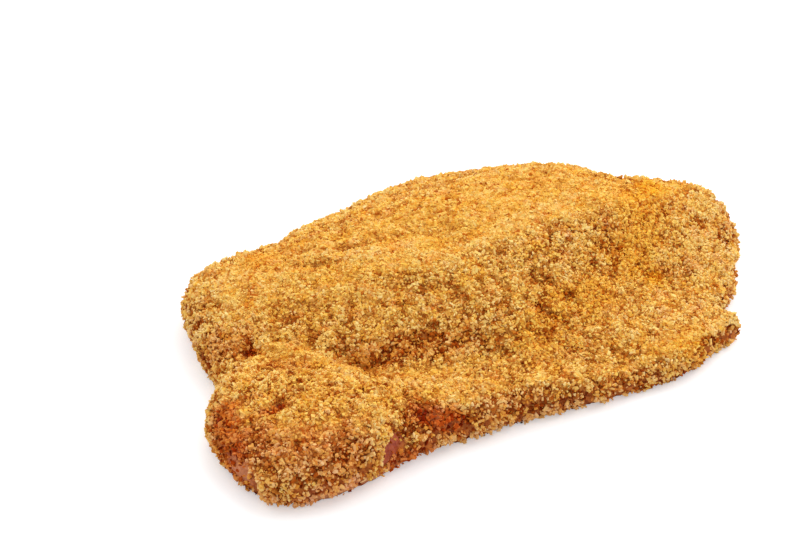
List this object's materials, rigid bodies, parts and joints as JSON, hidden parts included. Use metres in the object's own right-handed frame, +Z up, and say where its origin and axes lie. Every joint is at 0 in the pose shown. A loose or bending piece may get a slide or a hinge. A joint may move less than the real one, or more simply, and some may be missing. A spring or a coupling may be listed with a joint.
{
  "type": "crumbed schnitzel",
  "caption": "Raw crumbed schnitzel: a thick, folded slab of meat with a lumpy crest, a cleft, a thin skirt and a flat underside.",
  "frame": {"origin": "on the resting surface, under the middle of the bounding box", "axes": "+X along the slab towards its narrow tip, +Y towards the thick back edge, +Z up through the crest"},
  "size_m": [0.1814, 0.1184, 0.0266],
  "materials": {
    "crumb_coat": "dry golden-brown crumbs over egg and raw meat, matt, a little moist where the coat is thin"
  },
  "bodies": {
    "root": {"schnitzel": "crumb_coat"}
  },
  "joints": []
}
